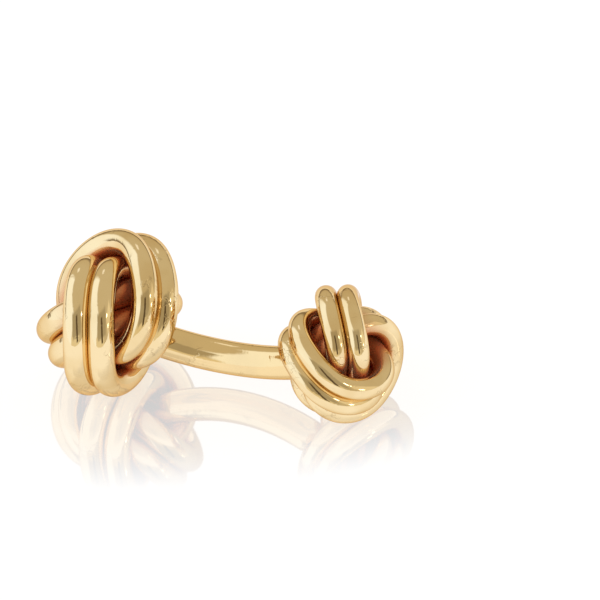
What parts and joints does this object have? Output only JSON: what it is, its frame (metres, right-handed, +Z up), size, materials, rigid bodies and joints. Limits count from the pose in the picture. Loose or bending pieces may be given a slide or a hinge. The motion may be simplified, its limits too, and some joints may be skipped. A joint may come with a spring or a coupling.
{
  "type": "cufflink",
  "caption": "Fixed-back cufflink of polished yellow gold: a large and a small knot of linked double rings joined by a curved round bar",
  "frame": {"origin": "on the surface the cufflink lies on, under the centre of its box", "axes": "+X along the bar from the large knot to the small knot, +Y away from the viewer of the picture, +Z up from the surface it lies on"},
  "size_m": [0.031, 0.0138, 0.0127],
  "materials": {
    "gold": "mirror polished yellow gold"
  },
  "bodies": {
    "root": {"large_ring_1_outer": "gold", "large_ring_1_inner": "gold", "large_ring_2_outer": "gold", "large_ring_2_inner": "gold", "large_ring_3_outer": "gold", "large_ring_3_inner": "gold", "small_ring_1_outer": "gold", "small_ring_1_inner": "gold", "small_ring_2_outer": "gold", "small_ring_2_inner": "gold", "small_ring_3_outer": "gold", "small_ring_3_inner": "gold", "bar": "gold"}
  },
  "joints": []
}
